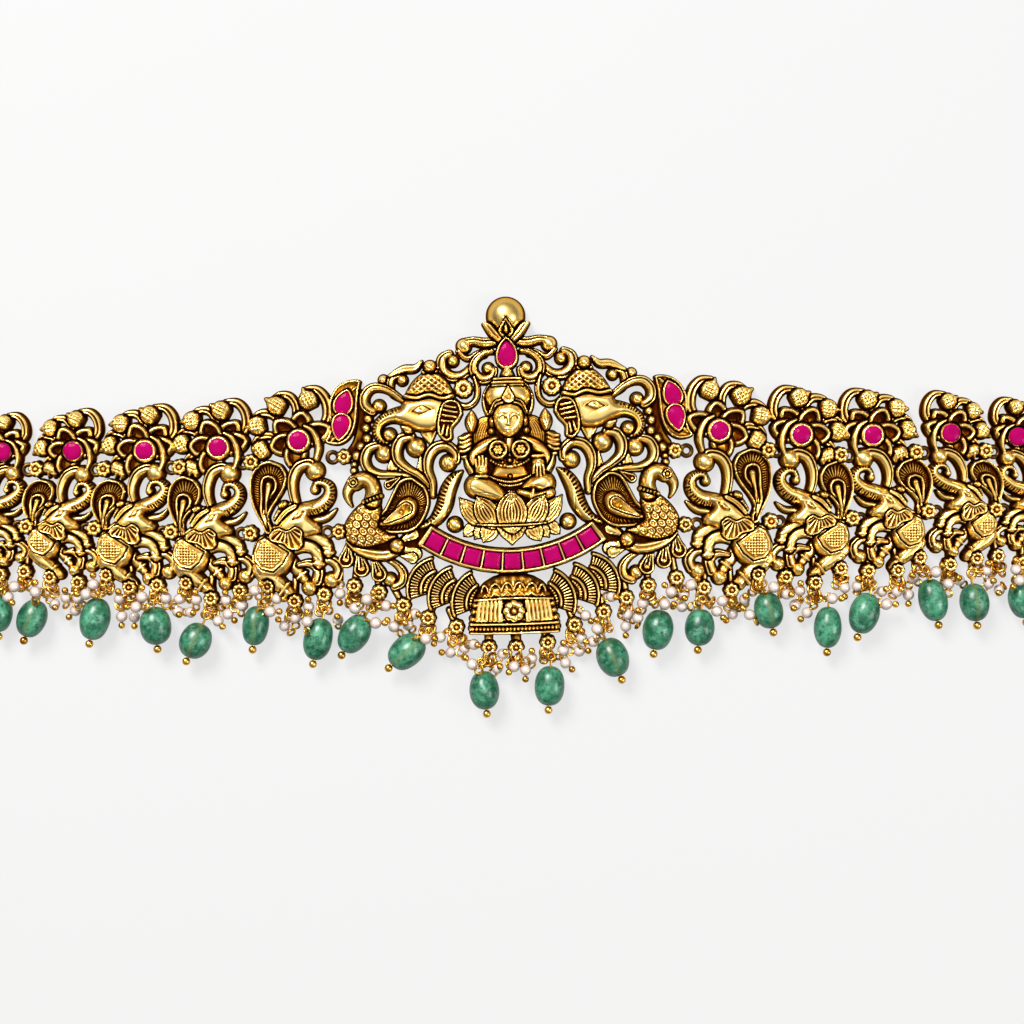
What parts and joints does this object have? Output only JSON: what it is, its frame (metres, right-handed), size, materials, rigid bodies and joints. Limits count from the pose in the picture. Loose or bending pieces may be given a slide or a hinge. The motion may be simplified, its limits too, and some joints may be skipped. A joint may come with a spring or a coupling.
{
  "type": "ornamental waist belt of cast gold links with ruby, emerald and pearl drops",
  "caption": "Open waist belt: a large middle plaque between joined flower and elephant links, with emerald and pearl drops below, and a chain with a hook and ring.",
  "frame": {"origin": "on the flat back under the middle of the belt, behind the plaque's seated figure", "axes": "+X along the open belt, towards the right of a viewer who faces its front; +Y towards the waist's upper edge; +Z out of the front"},
  "size_m": [0.6384, 0.1058, 0.0091],
  "materials": {
    "antique_gold": "satin",
    "bright_gold": "gloss",
    "dark_gold": "satin",
    "ruby": "polished",
    "emerald": "polished",
    "pearl": "gloss"
  },
  "bodies": {
    "root": {"plaque": "antique_gold", "link_left_1": "antique_gold", "link_left_2": "antique_gold", "link_left_3": "antique_gold", "link_left_4": "antique_gold", "link_left_5": "antique_gold", "link_right_1": "antique_gold", "link_right_2": "antique_gold", "link_right_3": "antique_gold", "link_right_4": "antique_gold", "link_right_5": "antique_gold", "crest_ruby": "ruby", "arc_rubies": "ruby", "paisley_rubies": "ruby", "link_ruby_left_1": "ruby", "link_ruby_left_2": "ruby", "link_ruby_left_3": "ruby", "link_ruby_left_4": "ruby", "link_ruby_left_5": "ruby", "link_ruby_right_1": "ruby", "link_ruby_right_2": "ruby", "link_ruby_right_3": "ruby", "link_ruby_right_4": "ruby", "link_ruby_right_5": "ruby", "emerald_1": "emerald", "emerald_2": "emerald", "emerald_3": "emerald", "emerald_4": "emerald", "emerald_5": "emerald", "emerald_6": "emerald", "emerald_7": "emerald", "emerald_8": "emerald", "emerald_9": "emerald", "emerald_10": "emerald", "emerald_11": "emerald", "emerald_12": "emerald", "emerald_13": "emerald", "emerald_14": "emerald", "emerald_15": "emerald", "emerald_16": "emerald", "emerald_17": "emerald", "emerald_18": "emerald", "emerald_19": "emerald", "emerald_20": "emerald", "emerald_21": "emerald", "emerald_22": "emerald", "emerald_pins_left": "bright_gold", "pearls_left": "pearl", "pearl_pins_left": "bright_gold", "joining_rings_left": "dark_gold", "chain_left": "bright_gold", "emerald_pins_right": "bright_gold", "pearls_right": "pearl", "pearl_pins_right": "bright_gold", "joining_rings_right": "dark_gold", "chain_right": "bright_gold", "clasp_hook": "bright_gold", "clasp_ring": "bright_gold"}
  },
  "joints": []
}
